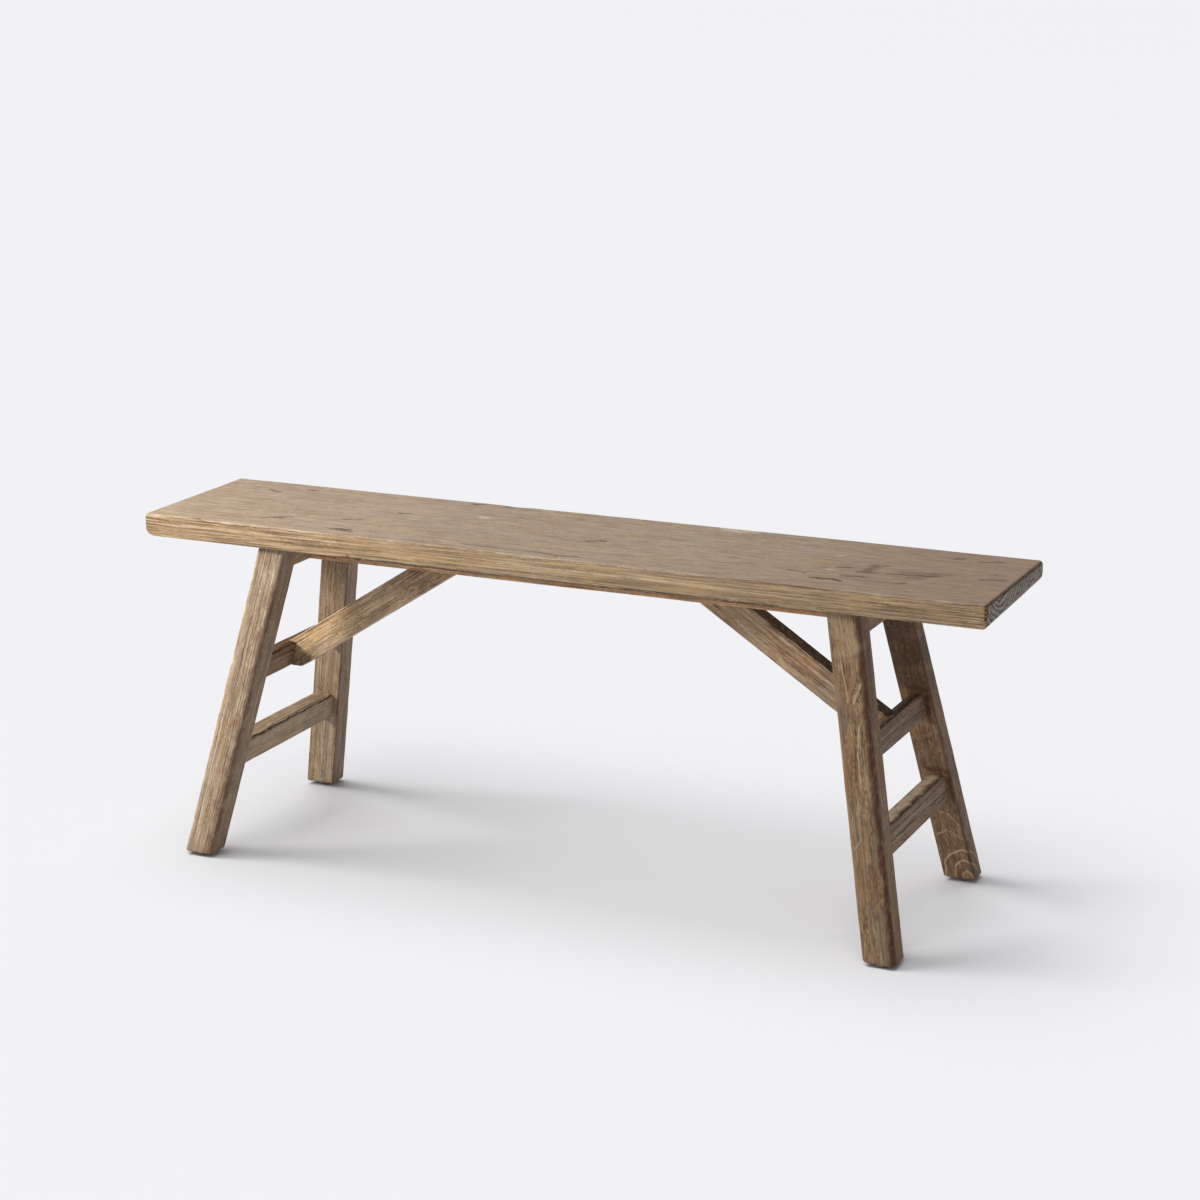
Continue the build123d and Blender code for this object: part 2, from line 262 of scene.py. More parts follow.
def bar(name, seed, stick, place, span):
    """A stick of wood. place(u, p, q) gives the world point, span(p, q) the two ends along the grain."""
    first, last = span(0, 0)
    whole = last - first
    rings, grain = [], []
    for u in stations(whole, stick.step, stick.rounding):
        share = u / whole
        worn = []
        for k, radius in enumerate(stick.radii):
            rub = wander(seed + 3 * k, u * 9) + 0.5 * wander(seed + 7 * k, u * 40)
            worn.append(max(LEAST_RADIUS, radius * (1 + WEAR * rub)))
        draw = fall(u, stick.rounding[0]) + fall(whole - u, stick.rounding[1])
        points, places = [], []
        for s in ring(stick.width, stick.height, worn, stick.counts):
            p, q = drawn(s.p, stick.width / 2, draw), drawn(s.q, stick.height / 2, draw)
            start, end = span(p, q)
            at = start + share * (end - start)
            swell = SWELL * wander(seed, u * 7, s.np * 2 + p * 20, s.nq * 2 + q * 20)
            swell += RIPPLE * wander(seed + 5, u * 60, p * 150, q * 150)
            swell -= dented(stick.dents, at, p, q)
            if not any(stick.rounding):
                swell *= min(1, u / TRUE_END, (whole - u) / TRUE_END)
            p, q = p + s.np * swell, q + s.nq * swell
            points.append((place(at, p, q), s.edge))
            places.append((at, p, q))
        rings.append(points)
        grain.append(places)
    return build(name, rings, grain, stick.marks)


# Wood: a solid pattern in the grain's own directions, so that it runs on round every arris

# Growth rings round one place of a face: its middle and half sizes in mm, how many, and how strong they are
Eye = namedtuple("Eye", "place size rings strength", defaults=(1.0,))


class Nodes:
    """Short names for the shader nodes that a material is built from."""

    def __init__(self, name):
        self.material = bpy.data.materials.new(name)
        self.material.use_nodes = True
        self.tree = self.material.node_tree
        self.shader = self.tree.nodes["Principled BSDF"]

    def new(self, kind, **settings):
        node = self.tree.nodes.new(kind)
        for key, value in settings.items():
            setattr(node, key, value)
        return node

    def set(self, socket, value):
        if isinstance(value, bpy.types.NodeSocket):
            self.tree.links.new(value, socket)
        else:
            socket.default_value = value

    def put(self, name, value):
        """A value or a socket for one input of the material's shader."""
        self.set(self.shader.inputs[name], value)

    def math(self, operation, *values, clamp=False):
        node = self.new("ShaderNodeMath", operation=operation, use_clamp=clamp)
        for socket, value in zip(node.inputs, values):
            self.set(socket, value)
        return node.outputs[0]

    def times(self, a, b):
        return self.math("MULTIPLY", a, b)

    def total(self, *parts):
        """A sum of values, each a socket with its weight."""
        result = 0.0
        for value, weight in parts:
            result = self.math("MULTIPLY_ADD", value, weight, result)
        return result

    def most(self, values):
        result = 0.0
        for value in values:
            result = self.math("MAXIMUM", result, value)
        return result

    def vector(self, operation, *values):
        node = self.new("ShaderNodeVectorMath", operation=operation)
        for socket, value in zip(node.inputs, values):
            self.set(socket, value)
        return node.outputs["Value" if operation in ("LENGTH", "DOT_PRODUCT") else "Vector"]

    def noise(self, place, stretch, detail, rough=0.55, output="Fac"):
        """A noise, and how often it varies per metre along the grain and across it, or along x, y and z."""
        node = self.new("ShaderNodeTexNoise")
        stretch = (*stretch, stretch[-1])[:3]
        self.set(node.inputs["Vector"], self.vector("MULTIPLY", place, stretch))
        for key, value in (("Scale", 1), ("Detail", detail), ("Roughness", rough)):
            node.inputs[key].default_value = value
        return node.outputs[output]

    def wobble(self, place, stretch, reach):
        """Smooth random offsets of a place, up to about half the reach each way."""
        centred = self.vector("SUBTRACT", self.noise(place, stretch, 2, output="Color"), (0.5, 0.5, 0.5))
        return self.vector("MULTIPLY", centred, reach)

    def step(self, value, low, high, out_low=0.0, out_high=1.0):
        """Smooth step of a value from one range to another."""
        node = self.new("ShaderNodeMapRange", interpolation_type="SMOOTHSTEP")
        for socket, v in zip(node.inputs, (value, low, high, out_low, out_high)):
            self.set(socket, v)
        return node.outputs[0]

    def crest(self, value, middle, width):
        """1 where a value is at the middle of a range, 0 from the width away."""
        return self.step(self.math("ABSOLUTE", self.math("SUBTRACT", value, middle)), width, 0.0)

    def mix(self, factor, a, b):
        node = self.new("ShaderNodeMix", data_type="RGBA")
        for socket, value in ((node.inputs[0], factor), (node.inputs[6], a), (node.inputs[7], b)):
            self.set(socket, value)
        return node.outputs[2]

    def ramp(self, value, dark, mid, light):
        low = self.mix(self.math("MULTIPLY", value, 2.0, clamp=True), dark, mid)
        high = self.math("MULTIPLY_ADD", value, 2.0, -1.0, clamp=True)
        return self.mix(high, low, light)

    def bump(self, height, strength, distance):
        node = self.new("ShaderNodeBump")
        node.inputs["Strength"].default_value = strength
        node.inputs["Distance"].default_value = distance
        self.set(node.inputs["Height"], height)
        self.put("Normal", node.outputs[0])

    def eye(self, place, eye):
        """Thin rings round a place, which fade out at the rim of the eye."""
        size = tuple(1 / (s * MM) for s in eye.size)
        from_middle = self.vector("SUBTRACT", place, tuple(Vector(eye.place) * MM))
        reach = self.vector("LENGTH", self.vector("MULTIPLY", from_middle, size))
        rings = self.crest(self.math("FRACT", self.times(reach, float(eye.rings))), 0.5, 0.16)
        return self.times(rings, self.step(reach, 1.08, 0.85, 0, eye.strength))


PLAIN = dict(
    light=srgb(192, 165, 134), mid=srgb(160, 132, 103), dark=srgb(118, 90, 66),
    pale=srgb(214, 194, 166), shade=srgb(62, 44, 31), grey=srgb(150, 136, 120), warm=srgb(172, 128, 84),
    pith=(0, 0.06, 0.09), axis=(0, 0, 1), seed=1, ring=190, late=0.06, band=0.12, mottle=0.15, soft=0.17,
    crack=0.7, glint=0.5, patch=0.5, rub=0.15, worn=0.5, wave=4, eyes=(),
)
LOOK = namedtuple("Look", PLAIN)(**PLAIN)
RED_LINE, WORN_ARRIS, REDDER_AND_SHADED = srgb(84, 50, 34), srgb(124, 84, 58), srgb(132, 100, 80)
END_PALE, END_DARK, END_CRACK = srgb(146, 134, 118), srgb(62, 50, 40), srgb(34, 26, 20)
# How far apart the patterns of two seeds lie, and those that would else follow each other
SEED_STEPS = (1.37, 0.71, 0.43)
WARM_SHIFT, CRACK_SHIFT, GLINT_SHIFT = (7.7, 1.3, 4.1), (3.1, 0.2, 0.7), (1.9, 2.3, 5.1)
# How much of a growth ring's radius counts along the grain, and by how many rings a noise shifts it
RING_TAPER, RING_DRIFT = 0.05, 2.2


def toned(factor, **changes):
    """The plain look with some values changed, and all its wood colours times a linear RGB factor."""
    look = LOOK._replace(**changes)
    names = ("light", "mid", "dark", "pale", "grey", "warm")
    scale = (*factor, 1)
    return look._replace(**{k: tuple(c * f for c, f in zip(getattr(look, k), scale)) for k in names})


def wood_material(name, look, front=None):
    n = Nodes(name)
    attribute = n.new("ShaderNodeAttribute", attribute_name="grain").outputs["Vector"]
    place = n.vector("ADD", attribute, tuple(look.seed * step for step in SEED_STEPS))
    offset = n.wobble(place, (4, 20), (0, look.wave * MM, look.wave * MM))
    bent = n.vector("ADD", place, offset)

    # Growth rings round the pith, cut by the board's faces
    from_pith = n.vector("SUBTRACT", n.vector("ADD", attribute, offset), look.pith)
    radius = n.vector("LENGTH", n.vector("MULTIPLY", from_pith, (RING_TAPER, 1, 1)))
    drift, rings = n.noise(place, (2, 30), 2), n.times(radius, float(look.ring))
    saw = n.math("FRACT", n.math("MULTIPLY_ADD", drift, RING_DRIFT, rings))
    late = n.times(n.step(saw, 0.3, 0.95), n.step(saw, 1.0, 0.95))

    fibre = n.noise(bent, (11, 950), 3, 0.6)
    fine = n.noise(bent, (180, 1300), 2, 0.6)
    blotch = n.noise(place, (45, 110), 3, 0.6)
    band = n.noise(bent, (4, 130), 3)
    patch = n.noise(place, (14, 40), 5, 0.7)
    warmth = n.noise(n.vector("ADD", place, WARM_SHIFT), (10, 44), 5, 0.7)
    pores = n.step(n.noise(bent, (26, 800), 2, 0.5), 0.6, 0.68)

    # Open cracks and bright strands: thin lines that follow the grain and break off
    thread = n.noise(n.vector("ADD", bent, CRACK_SHIFT), (2, 190), 1, 0.4)
    broken = n.step(n.noise(place, (13, 90), 2), 0.5, 0.6)
    cracks = n.times(n.crest(thread, 0.5, 0.03), broken)
    strand = n.noise(n.vector("ADD", bent, GLINT_SHIFT), (4, 260), 1, 0.4)
    strand = n.crest(strand, 0.5, 0.045)
    glints = n.times(strand, n.step(n.noise(place, (22, 120), 2), 0.48, 0.6))

    mottle = n.noise(place, (150, 320), 2, 0.6)
    tone = n.total((fibre, 0.65), (fine, 0.5), (blotch, 0.25), (band, look.band), (late, -look.late))
    tone = n.math("MULTIPLY_ADD", mottle, look.mottle, tone)
    middle = 0.7 + (look.band + look.mottle) / 2
    tone = n.step(tone, middle - look.soft, middle + look.soft)
    colour = n.ramp(tone, look.dark, look.mid, look.light)
    colour = n.mix(n.step(patch, 0.46, 0.66, 0, look.patch), colour, look.grey)
    colour = n.mix(n.step(warmth, 0.5, 0.68, 0, look.patch), colour, look.warm)

    edge = n.new("ShaderNodeAttribute", attribute_name="edge").outputs["Fac"]
    rubbed = n.times(edge, n.step(n.noise(place, (30, 120), 3), 0.44, 0.62))
    if front:
        colour = seat_colour(n, (attribute, place, bent), (fibre, fine, band, patch, warmth), colour, front)
    colour = n.mix(n.times(edge, look.worn), colour, n.mix(0.5, WORN_ARRIS, look.dark))
    colour = n.mix(n.times(rubbed, look.rub), colour, look.pale)
    colour = n.mix(n.times(glints, look.glint), colour, look.pale)
    colour = n.mix(n.times(pores, 0.35), colour, look.shade)
    colour = n.mix(n.times(cracks, look.crack), colour, look.shade)

    # End grain: greyer, with the rings as arcs and fine dark checks
    normal = n.new("ShaderNodeNewGeometry").outputs["Normal"]
    end = n.step(n.math("ABSOLUTE", n.vector("DOT_PRODUCT", normal, look.axis)), 0.72, 0.9)
    arcs = n.mix(n.step(saw, 0.35, 0.9), END_PALE, END_DARK)
    arcs = n.mix(n.step(n.noise(attribute, (60, 60, 420), 3), 0.52, 0.66), arcs, END_CRACK)
    colour = n.mix(end, colour, arcs)

    # Knots, dashes, veins and eyes of this one piece
    ragged = n.step(n.noise(place, (140, 500), 3), 0.36, 0.5, 0.25, 1.0)
    inks = n.new("ShaderNodeSeparateXYZ")
    n.set(inks.inputs[0], n.new("ShaderNodeAttribute", attribute_name="marks").outputs["Vector"])
    drawing = [n.math("MULTIPLY", ink, ragged, clamp=True) for ink in inks.outputs]
    if look.eyes:
        aside = n.vector("ADD", attribute, n.wobble(place, (45, 45), (12 * MM,) * 3))
        eyes = n.most([n.eye(aside, eye) for eye in look.eyes])
        drawing[1] = n.math("MAXIMUM", drawing[1], n.times(eyes, ragged))
    for ink, tint in zip(drawing, (look.shade, look.pale, RED_LINE)):
        colour = n.mix(ink, colour, tint)
    n.put("Base Color", colour)

    n.put("Roughness", n.total((fibre, 0.25), (pores, 0.15), (cracks, 0.1), (1.0, 0.48)))
    n.put("Specular IOR Level", 0.3)

    height = n.total((fibre, 0.8), (fine, 0.3), (pores, -0.4), (cracks, -0.6 * look.crack), (late, -0.2))
    n.bump(n.math("SUBTRACT", height, n.times(drawing[0], 0.5)), 0.5, 0.6 * MM)
    return n.material


def seat_colour(n, places, noises, colour, front):
    """The seat's colour, redder and darker to the right, partly as painted shade, with the front face's own
    look below a ragged seam.
    """
    attribute, place, bent = places
    fibre, fine, band, patch, warmth = noises
    axes = n.new("ShaderNodeSeparateXYZ")
    n.set(axes.inputs[0], attribute)
    x, y, z = axes.outputs
    seam = n.math("MULTIPLY_ADD", n.noise(place, (16, 16), 4), 9 * MM, SEAT_THICKNESS / 2 - 7.2 * MM)
    drop = n.math("SUBTRACT", z, seam)
    at_front = n.step(y, -SEAT_DEPTH / 2 + 6 * MM, -SEAT_DEPTH / 2 + 4 * MM)
    on_front = n.times(at_front, n.step(drop, 0.4 * MM, -0.4 * MM))

    streak = n.noise(bent, (6, 430), 2, 0.6)
    lines = n.total((fibre, 0.6), (fine, 0.25), (streak, 0.5), (band, front.band))
    middle = 0.695 + front.band / 2
    lines = n.step(lines, middle - front.soft, middle + front.soft)
    face = n.ramp(lines, front.dark, front.mid, front.light)
    face = n.mix(n.step(patch, 0.48, 0.66, 0, front.patch), face, front.grey)
    face = n.mix(n.step(warmth, 0.48, 0.64, 0, 0.5), face, front.warm)
    # Lighter in the middle of the bench, darker along the lower arris
    face = n.mix(n.times(n.crest(x, 0.1, 0.5), 0.3), face, front.light)
    low = n.math("ADD", z, n.times(n.noise(place, (12, 12), 3), 12 * MM))
    face = n.mix(n.step(low, 8 * MM, -4 * MM, 0, 0.12), face, front.dark)

    # Redder towards the right end, and darker there as painted shade for the lamp's light falling off
    colour = n.mix(n.step(x, 0.16, 0.5, 0, 0.32), colour, REDDER_AND_SHADED)
    colour = n.mix(on_front, colour, face)
    line = n.times(at_front, n.crest(drop, 0.0, 1 * MM))
    line = n.times(line, n.step(n.noise(place, (40, 40), 3), 0.38, 0.6))
    return n.mix(n.times(line, 0.85), colour, RED_LINE)


def finish_piece(piece, material, node):
    piece.data.materials.append(material)
    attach(piece, "root")
    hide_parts(node)


def dress(piece, look, node, front=None):
    finish_piece(piece, wood_material(piece.name, look, front), node)


# Seat

# Dashes, knots and bare chips on the top: both ends in mm from its middle, then as in Mark
SEAT_TOP_MARKS = (
    (-518, 75, -500, 71, 3.5, 0.8), (-466, 97, -458, 97, 4.1, 0.8), (-437, -77, -414, -70, 3.5, 0.8),
    (-420, -64, -404, -62, 3.2, 0.6), (-318, -98, -296, -96, 4.6, 1, "red"),
    (-310, -102, -288, -104, 3.2, 0.9), (-334, -43, -310, -36, 3.2, 0.8), (-280, 22, -266, 24, 3.5, 0.8),
    (-168, 45, -158, 48, 4.5, 0.7, "pale"), (-214, 114, -198, 115, 4.1, 0.8),
    (-162, 121, -140, 122, 5.4, 0.8), (-120, -102, 10, -105, 3.2, 0.6), (18, -109, 46, -106, 3, 0.8),
    (22, -18, 44, -15, 4.1, 0.8), (164, 114, 206, 119, 8.1, 0.6, "pale"), (318, -58, 342, -62, 3.2, 0.8),
    (360, -80, 396, -82, 4.6, 0.9), (364, -33, 370, -32, 3.2, 0.8, "pale"), (372, -18, 386, -17, 3.5, 0.9),
    (350, 42, 356, 44, 3, 0.7, "pale"), (411, -26, 417, 12, 8, 0.6), (404, -30, 424, -26, 5, 0.7),
    (408, 8, 428, 12, 4, 0.6), (392, -58, 420, -50, 4.5, 0.6), (478, -30, 492, -14, 11, 0.4),
    (400, -70, 470, -66, 3.5, 0.4), (440, -26, 505, -13, 3, 0.8, "red"),
    (452, -12, 516, 2, 2.7, 0.7, "red"), (497, 84, 503, 86, 4.9, 0.9), (470, -62, 474, -61, 4.6, 0.8),
    (530, 82, 556, 90, 3.5, 0.8), (556, -8, 584, 3, 3.5, 0.8), (560, 22, 576, 24, 3.2, 0.6),
)
# Chips in the seat's arrises, and how long the bare wood in some of them is, in mm
SEAT_DENTS = (
    (-588, -124, 15, 9, 3, 1.2), (-470, -124, 15, 7, 2.4, 0.9), (-455, -124, 15, 5, 2, 0.8),
    (-432, -124, 15, 5, 3, 1.3), (-150, 124, 15, 14, 3, 1.6), (114, -124, 15, 5, 3, 1.3),
    (182, -124, 15, 6, 3, 1.2), (392, -125, 14, 9, 2.6, 0.7), (588, -124, 14, 4, 3, 1.2),
    (594, -125, 2, 6, 4, 1.0), (597, -125, -8, 5, 3, 1.0),
)
SEAT_BARE_CHIPS = ((-588, 9), (-471, 5), (-432, 4), (114, 4), (182, 5))
# Long thin lines along the front face, dark or pale: both ends and height from the middle, in mm
SEAT_FRONT_LINES = (
    (-300, 60, -11), (-260, 120, -13.5, "pale"), (-180, 160, -8), (40, 420, -12), (120, 380, -11.5, "pale"),
    (-560, -380, -2), (-540, -300, 4, "pale"), (250, 560, 2), (-60, 210, 1, "pale"), (420, 585, -7),
)
# Rounding of the seat's upper and lower arrises and how much it varies, in mm
SEAT_OVER, SEAT_UNDER, SEAT_WEAR = 3.0, 2.2, 0.8


def make_seat():
    half = SEAT_LENGTH / 2
    seed = 11
    rings, grain = [], []
    for u in stations(SEAT_LENGTH, 4 * MM, (14 * MM, 14 * MM)):
        x = u - half
        near = min(u, SEAT_LENGTH - u)
        worn = [
            (SEAT_OVER + SEAT_WEAR * wander(seed, u * 6)) * MM,
            (SEAT_OVER + 0.7 * wander(seed + 1, u * 5) + 0.6 * wander(seed + 2, u * 25)) * MM,
            (SEAT_UNDER + SEAT_WEAR * wander(seed + 3, u * 6)) * MM,
            (SEAT_UNDER + SEAT_WEAR * wander(seed + 4, u * 6)) * MM,
        ]
        points, places = [], []
        for s in ring(SEAT_DEPTH, SEAT_THICKNESS, worn, (7, 110, 6)):
            back_share = s.p / SEAT_DEPTH + 0.5
            # The ends are rounded below, above and in plan, the right one more towards the back
            under = 14 * MM if x < 0 else (6 + 11 * back_share) * MM
            over = 4 * MM if x < 0 else (3 + 2.5 * back_share) * MM
            plan = 5 * MM if s.p > 0 and x > 0 else 3 * MM
            p = drawn(s.p, SEAT_DEPTH / 2, fall(near, plan))
            q = drawn(s.q, SEAT_THICKNESS / 2, fall(near, over if s.q > 0 else under))
            swell = SEAT_SWELL * wander(seed, u * 3, p * 9, s.nq * 3) - SEAT_INSET
            swell += RIPPLE * wander(seed + 5, u * 30, p * 90, q * 90)
            swell -= dented(SEAT_DENTS, x, p, q)
            p, q = p + s.np * swell, q + s.nq * swell
            points.append((Vector((x, p, SEAT_UNDERSIDE + SEAT_THICKNESS / 2 + q)), s.edge))
            places.append((x, p, q))
        rings.append(points)
        grain.append(places)
    return build("seat", rings, grain, seat_marks())


def seat_marks():
    level, front = SEAT_THICKNESS / 2 / MM, -SEAT_DEPTH / 2 / MM
    marks = [((x0, y0, level), (x1, y1, level), *rest) for x0, y0, x1, y1, *rest in SEAT_TOP_MARKS]
    for x, long in SEAT_BARE_CHIPS:
        marks.append(((x - long, front, level), (x + long, front, level), 2.2, 0.7, "pale"))
    marks += [((x0, front, z), (x1, front, z), 0.8, 0.5, *ink) for x0, x1, z, *ink in SEAT_FRONT_LINES]
    return marks + [
        # A nail hole, and painted shade along the rounded lower arris of the front face
        ((-282, front, -13), (-280, front, -13), 2.4),
        ((-290, front + 0.7, -15.5), (330, front + 0.7, -15.5), 2.2),
        # The right end: a dark line along its upper arris, torn dark arrises at its front and back
        ((599, -124, 15), (599, 116, 14), 2.0),
        ((598, -125, 15), (598, -125, -3), 2.8, 1.0, "red"),
        ((600, -124, 14), (600, -124, 3), 1.8),
        ((600, -124.5, -4), (600, -124.5, -12), 1.2),
        ((597, 122, 12), (597, 123, -11), 1.6),
    ]


SEAT_TOP_LOOK = LOOK._replace(
    light=srgb(190, 170, 148), mid=srgb(169, 148, 126), dark=srgb(138, 114, 92),
    pale=srgb(214, 200, 178), shade=srgb(70, 48, 34), grey=srgb(164, 150, 135), warm=srgb(186, 154, 112),
    pith=(0.6, -0.062, 0.056), axis=(1, 0, 0), seed=2, ring=125, late=0.04, band=0.16, mottle=0.06,
    crack=0.3, glint=0.15, patch=0.5, rub=0.1, worn=0.15,
)
SEAT_FRONT_LOOK = SEAT_TOP_LOOK._replace(
    light=srgb(188, 163, 127), mid=srgb(150, 126, 95), dark=srgb(92, 69, 47),
    warm=srgb(176, 144, 97), grey=srgb(131, 111, 88), band=0.25, soft=0.15,
)


# Legs


def leg_axis(end, side):
    return Vector((-end * LEAN_X, -side * LEAN_Y, 1))


LEG_LOOKS = {
    "front_left": toned(
        (0.84, 0.885, 0.94),
        light=srgb(186, 164, 136), dark=srgb(126, 97, 68),
        seed=21, soft=0.14, crack=0.35, band=0.06, mottle=0.05, glint=0.4, patch=0.25, worn=0.2,
    ),
    "back_left": toned(
        (0.82, 0.85, 0.88),
        light=srgb(188, 164, 134), dark=srgb(122, 94, 66),
        seed=23, crack=0.5, band=0.08, mottle=0.05, patch=0.3,
    ),
    "front_right": toned(
        (0.64, 0.59, 0.5),
        seed=25, soft=0.12, crack=0.6, glint=0.7, patch=0.8, mottle=0.5,
        eyes=(Eye((300, 6, -18), (42, 12, 30), 4, 0.5),),
    ),
    "back_right": toned(
        (0.64, 0.57, 0.5),
        seed=27, soft=0.14, crack=0.5, patch=0.5, mottle=0.5,
        eyes=(Eye((4, 14, -18), (48, 38, 38), 3),),
    ),
}
FRONT_FACE, RIGHT_FACE = -LEG_DEPTH / 2 / MM, LEG_WIDTH / 2 / MM
# Cracks, veins and nail holes of the legs, with painted shade, painted shadows and a painted highlight, as in
# Mark. Ends on the front face leave out their third number
LEG_MARKS = {
    "front_left": (
        ((370, 17.5, FRONT_FACE + 1), (0, 17.5, FRONT_FACE + 1), 7.5, 0.6, "red"),
        ((428, 18, FRONT_FACE + 2), (370, 18, FRONT_FACE + 2), 6, 0.3, "red"),
        # Darker low on the front face, and painted shade at the top of the right face, under the seat
        ((90, -8), (0, -8), 20, 0.12), ((428, RIGHT_FACE, 0), (250, RIGHT_FACE, 0), 22, 0.12),
        ((403, 11), (321, 13.5), 0.9, 1, "pale"), ((418, 2), (300, 5), 0.8),
        ((330, -6), (180, -3), 0.8, 0.8), ((250, 8), (60, 9), 0.8, 0.8),
        ((190, -12), (20, -9), 0.8, 0.8, "pale"), ((300, 13), (120, 14), 0.8, 0.6, "pale"),
        # A painted highlight along the left arris of the front face
        ((428, -21.5, FRONT_FACE + 1), (0, -21.5, FRONT_FACE + 1), 2.2, 0.9, "pale"),
        ((137, RIGHT_FACE, 22), (139, RIGHT_FACE, 22), 2.4),
    ),
    "back_left": (
        ((428, 21.5), (0, 21.5), 1.0, 0.9, "red"), ((380, 3), (240, 6), 0.8, 0.9),
        ((300, -9), (150, -8), 0.8, 0.8), ((130, 4), (10, 3), 0.8, 0.8),
        ((428, RIGHT_FACE, -8), (200, RIGHT_FACE, -8), 1.0, 0.7),
    ),
    "front_right": (
        ((440, 20.5, FRONT_FACE + 3), (330, 20.5, FRONT_FACE + 3), 5.0, 0.85, "red"),
        ((330, 19.5, FRONT_FACE + 3), (0, 19.5, FRONT_FACE + 3), 5.5, 1.0, "red"),
        # The first mark here is painted shade at the top of the right face, under the seat
        ((440, 24, -4), (300, 24, -4), 15, 0.5, "red"), ((440, -2), (385, 2), 18, 0.55, "pale"),
        ((440, -17), (360, -18), 1.6, 0.7), ((426, -6), (392, -4.5), 1.2, 0.8),
        ((374, 12.8), (376, 13), 2.0), ((374, -5), (332, -3.3), 1.2),
        ((366, -7.5), (318, -3.3), 1.1, 0.8, "pale"), ((318, -2.3), (317, 3), 1.2, 0.8),
        ((317, 3), (343, 16), 1.3, 1.0, "pale"), ((313, 5), (337, 17), 1.1, 0.9),
        ((322, 1), (346, 11), 1.0, 0.7), ((306, -18), (296, 14), 7.0, 0.45, "red"),
        ((282, 12), (236, 8), 1.2, 0.7), ((200, -4), (150, -6), 1.1, 0.6, "pale"),
        ((120, 6), (60, 4), 6.0, 0.3, "red"), ((299, 12), (275, 4), 1.2, 0.9, "pale"),
        ((275, 4), (215, 1), 1.1, 0.9, "pale"), ((290, 3), (225, -3.5), 0.9, 0.8),
        ((262, 10), (214, 8), 0.9, 0.6, "pale"), ((148, -8), (138, -15), 1.0, 0.8, "pale"),
        ((240, -12), (90, -9), 0.8, 0.7), ((160, 6), (10, 8), 0.8, 0.7),
    ),
    "back_right": (
        # Painted shade over the upper part of the front face, under the seat, and darker low down
        ((440, 0, 0), (320, 0, 0), 60, 0.75), ((200, 0), (0, 0), 26, 0.3),
        # Painted shadows of the stretchers round the joints on the front face
        ((276, -8), (274, 12), 5, 0.9, "red"), ((266, 14), (234, 14), 4, 0.9, "red"),
        ((160, -10), (158, 18), 4, 1.0, "red"), ((152, 19), (118, 19), 3, 0.8),
        ((428, 21, FRONT_FACE + 2), (0, 21, FRONT_FACE + 2), 2.2, 0.9, "red"),
        ((64, -16), (72, 0), 0.9, 0.9, "pale"), ((72, 0), (60, 21), 0.9, 0.9, "pale"),
        ((100, -10), (96, 6), 0.9, 0.8, "pale"), ((96, 6), (79, 19), 0.9, 0.8, "pale"),
    ),
}


def make_leg(name, end, side):
    look = LEG_LOOKS[name]
    rise = SEAT_UNDERSIDE - FOOT_LEVEL
    outer, inner = 7 * MM, 2 * MM
    radii = (outer, outer, inner, inner) if side > 0 else (inner, inner, outer, outer)
    marks = [((*a, FRONT_FACE)[:3], (*b, FRONT_FACE)[:3], *rest) for a, b, *rest in LEG_MARKS[name]]

    def place(u, p, q):
        return Vector((end * FOOT_X + p, side * FOOT_Y + q, FOOT_LEVEL)) + leg_axis(end, side) * u

    def span(p, q):
        return 0, rise + SEATING

    stick = Stick(LEG_WIDTH, LEG_DEPTH, radii, 2 * MM, (13, 32, 7), (4 * MM, 0), marks=marks)
    leg = bar(f"{name}_leg", look.seed, stick, place, span)
    dress(leg, look._replace(axis=tuple(leg_axis(end, side).normalized())), f"{name}_leg")


# Stretchers of the end frames


def leg_centre_x(level):
    return FOOT_X - LEAN_X * (level - FOOT_LEVEL)


def inner_face_y(level):
    """Distance of a leg's inner face from the middle, at a height."""
    return HEAD_Y - LEG_DEPTH / 2 + LEAN_Y * (SEAT_UNDERSIDE - level)


STRETCHER_LOOKS = {
    "left_upper": toned((0.64, 0.57, 0.48), crack=0.8),
    "left_lower": toned((1.24, 1.36, 1.42), band=0.06, mottle=0, soft=0.3, crack=0.3, glint=0.2, patch=0.3),
    "right_upper": toned((0.58, 0.56, 0.58), crack=0.8),
    "right_lower": toned((0.72, 0.71, 0.71), soft=0.12, crack=1),
}


def make_stretcher(name, end, level, thickness, height, seed):
    across = Vector((math.cos(LEAN), 0, end * math.sin(LEAN)))
    up = Vector((-end * math.sin(LEAN), 0, math.cos(LEAN)))
    middle = Vector((end * leg_centre_x(level), 0, level))
    p, q = thickness / 2 / MM, height / 2 / MM
    # Open checks along the upper arris that faces +X
    dents = ((-70, p, q, 60, 1.6, 1.1), (60, p - 4, q, 50, 1.2, 0.8))
    marks = [
        ((-120, p - 2, q), (130, p - 2.5, q), 2.4),
        ((-40, p - 7, q), (110, p - 6, q), 1.1),
    ]
    if name == "left_lower":
        marks += [((-120, -3, q), (120, -3, q), 9, 0.35), ((60, p, 0), (140, p, 0), 20, 0.3)]
    else:
        marks += [
            ((-100, p, q - 8), (60, p, q - 10), 0.9, 0.9),
            ((10, p, q - 20), (120, p, q - 22), 0.9, 0.9),
            ((-90, p, q - 15), (40, p, q - 13), 0.9, 0.8, "pale"),
        ]
    if name == "right_lower":
        marks.append(((-120, -3, q), (120, -3, q), 9, 0.9, "pale"))

    def place(u, p, q):
        return middle + across * p + up * q + Vector((0, u, 0))

    def span(p, q):
        reach = inner_face_y((middle + across * p + up * q).z) + SEATING
        return -reach, reach

    look = STRETCHER_LOOKS[name]._replace(axis=(0, 1, 0), seed=seed)
    stick = Stick(thickness, height, (2 * MM,) * 4, 2 * MM, (14, 18, 5), dents=dents, marks=marks)
    dress(bar(f"{name}_stretcher", seed, stick, place, span), look, f"{name}_stretcher")


# Rails under the seat

RAIL_RADII = (1 * MM, 1 * MM, 2 * MM, 2 * MM)


